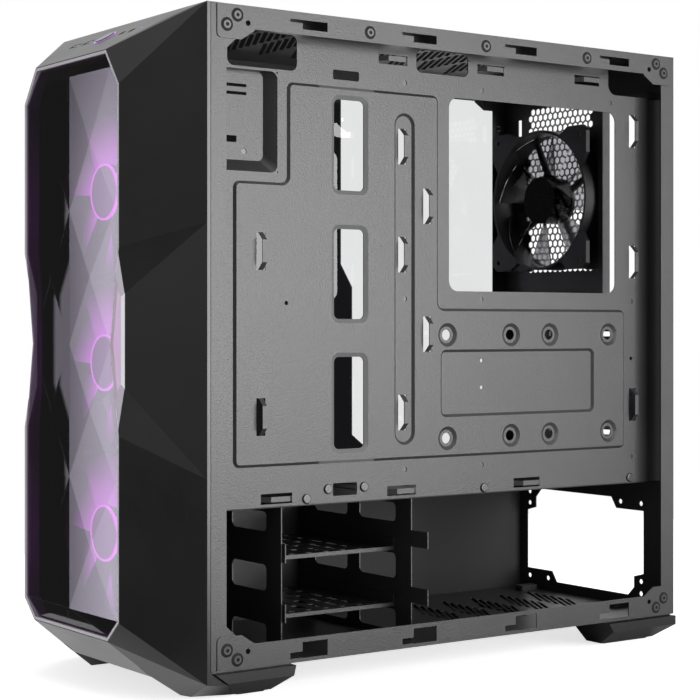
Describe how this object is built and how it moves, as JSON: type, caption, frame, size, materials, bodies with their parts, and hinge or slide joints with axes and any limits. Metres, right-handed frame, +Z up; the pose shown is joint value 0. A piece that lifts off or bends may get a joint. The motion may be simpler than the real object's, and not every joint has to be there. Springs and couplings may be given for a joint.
{
  "type": "computer case",
  "caption": "Mid-tower computer case with a faceted front shell and window, lit fans, motherboard tray, drive cage, pull-out filter and lift-off clear side panel.",
  "frame": {"origin": "on the ground, in the middle of the footprint", "axes": "+X to the right side of the case, -Y out of its front, +Z up"},
  "size_m": [0.217, 0.4915, 0.4696],
  "materials": {
    "black_steel": "fine textured powder coat, satin",
    "black_plastic": "fine spark texture, satin",
    "fan_plastic": "satin",
    "front_blades": "smoked, glossy",
    "clear_blades": "smoked, translucent",
    "fan_light": "lit from inside",
    "button_light": "frosted light pipe",
    "button_plastic": "gloss",
    "grey_trim": "semi-gloss",
    "smoked_window": "clear acrylic, smoked, polished",
    "clear_panel": "clear acrylic, polished",
    "filter_cloth": "fine woven nylon",
    "circuit_board": "solder mask",
    "port_metal": "nickel plated",
    "jack_plastic": "satin",
    "standoff_steel": "black oxide",
    "screw_steel": "black oxide",
    "rivet_steel": "painted black",
    "rubber_pad": "matte"
  },
  "bodies": {
    "chassis": {"chassis_floor": "black_steel", "chassis_roof": "black_steel", "front_wall": "black_steel", "rear_panel": "black_steel", "motherboard_tray": "black_steel", "motherboard_standoffs": "standoff_steel", "tray_screws": "screw_steel", "psu_shroud": "black_steel", "drive_cage": "black_steel", "chassis_rivets": "rivet_steel", "slot_cover_1": "black_steel", "slot_cover_2": "black_steel", "slot_cover_3": "black_steel", "slot_cover_4": "black_steel", "slot_cover_5": "black_steel", "slot_cover_6": "black_steel", "slot_cover_7": "black_steel", "slot_screws": "screw_steel", "slot_screw_cover": "black_steel", "cover_thumbscrew": "screw_steel", "upper_fan_frame": "fan_plastic", "middle_fan_frame": "fan_plastic", "lower_fan_frame": "fan_plastic", "rear_fan_frame": "fan_plastic", "front_fan_screws": "screw_steel", "rear_fan_screws": "screw_steel", "foot_front_right": "black_plastic", "foot_front_left": "black_plastic", "foot_rear_right": "black_plastic", "foot_rear_left": "black_plastic", "foot_pads": "rubber_pad", "psu_pads": "rubber_pad"},
    "upper_fan": {"upper_fan_rotor": "front_blades", "upper_fan_light_ring": "fan_light"},
    "middle_fan": {"middle_fan_rotor": "front_blades", "middle_fan_light_ring": "fan_light"},
    "lower_fan": {"lower_fan_rotor": "front_blades", "lower_fan_light_ring": "fan_light"},
    "rear_fan": {"rear_fan_rotor": "clear_blades"},
    "drive_tray_upper": {"drive_tray_upper": "black_steel"},
    "drive_tray_lower": {"drive_tray_lower": "black_steel"},
    "dust_filter": {"filter_frame": "black_plastic", "filter_mesh": "filter_cloth"},
    "roof_filter": {"roof_filter_frame": "black_plastic", "roof_filter_mesh": "filter_cloth"},
    "front_panel": {"front_shell": "black_plastic", "window_trim": "grey_trim", "front_window": "smoked_window", "power_ring": "button_light", "front_board": "circuit_board", "usb_ports": "port_metal", "audio_jacks": "jack_plastic", "activity_lamp": "button_light"},
    "power_button": {"power_button": "button_plastic"},
    "left_panel": {"left_panel": "clear_panel", "left_panel_screws": "screw_steel"}
  },
  "joints": [
    {"name": "lower_fan_spin", "type": "hinge", "parent": "chassis", "child": "lower_fan", "pos_m": [0, -0.206, 0.107], "axis": [0, -1, 0], "continuous": true},
    {"name": "middle_fan_spin", "type": "hinge", "parent": "chassis", "child": "middle_fan", "pos_m": [0, -0.206, 0.2272], "axis": [0, -1, 0], "continuous": true},
    {"name": "upper_fan_spin", "type": "hinge", "parent": "chassis", "child": "upper_fan", "pos_m": [0, -0.206, 0.3474], "axis": [0, -1, 0], "continuous": true},
    {"name": "rear_fan_spin", "type": "hinge", "parent": "chassis", "child": "rear_fan", "pos_m": [-0.0297, 0.2252, 0.3609], "axis": [0, -1, 0], "continuous": true},
    {"name": "drive_tray_upper_slide", "type": "slide", "parent": "chassis", "child": "drive_tray_upper", "axis": [1, 0, 0], "range_m": [0, 0.12]},
    {"name": "drive_tray_lower_slide", "type": "slide", "parent": "chassis", "child": "drive_tray_lower", "axis": [1, 0, 0], "range_m": [0, 0.12]},
    {"name": "dust_filter_slide", "type": "slide", "parent": "chassis", "child": "dust_filter", "axis": [0, 1, 0], "range_m": [0, 0.17]},
    {"name": "roof_filter_lift", "type": "slide", "parent": "chassis", "child": "roof_filter", "axis": [0, 0, 1], "range_m": [0, 0.05]},
    {"name": "front_panel_pull", "type": "slide", "parent": "chassis", "child": "front_panel", "axis": [0, -1, 0], "range_m": [0, 0.06]},
    {"name": "power_button_press", "type": "slide", "parent": "front_panel", "child": "power_button", "axis": [0, 0.5275, -0.8496], "range_m": [0, 0.0012], "stiffness_N_per_m": 900, "springref_m": -0.0006},
    {"name": "left_panel_lift", "type": "slide", "parent": "chassis", "child": "left_panel", "axis": [-1, 0, 0], "range_m": [0, 0.06]}
  ]
}
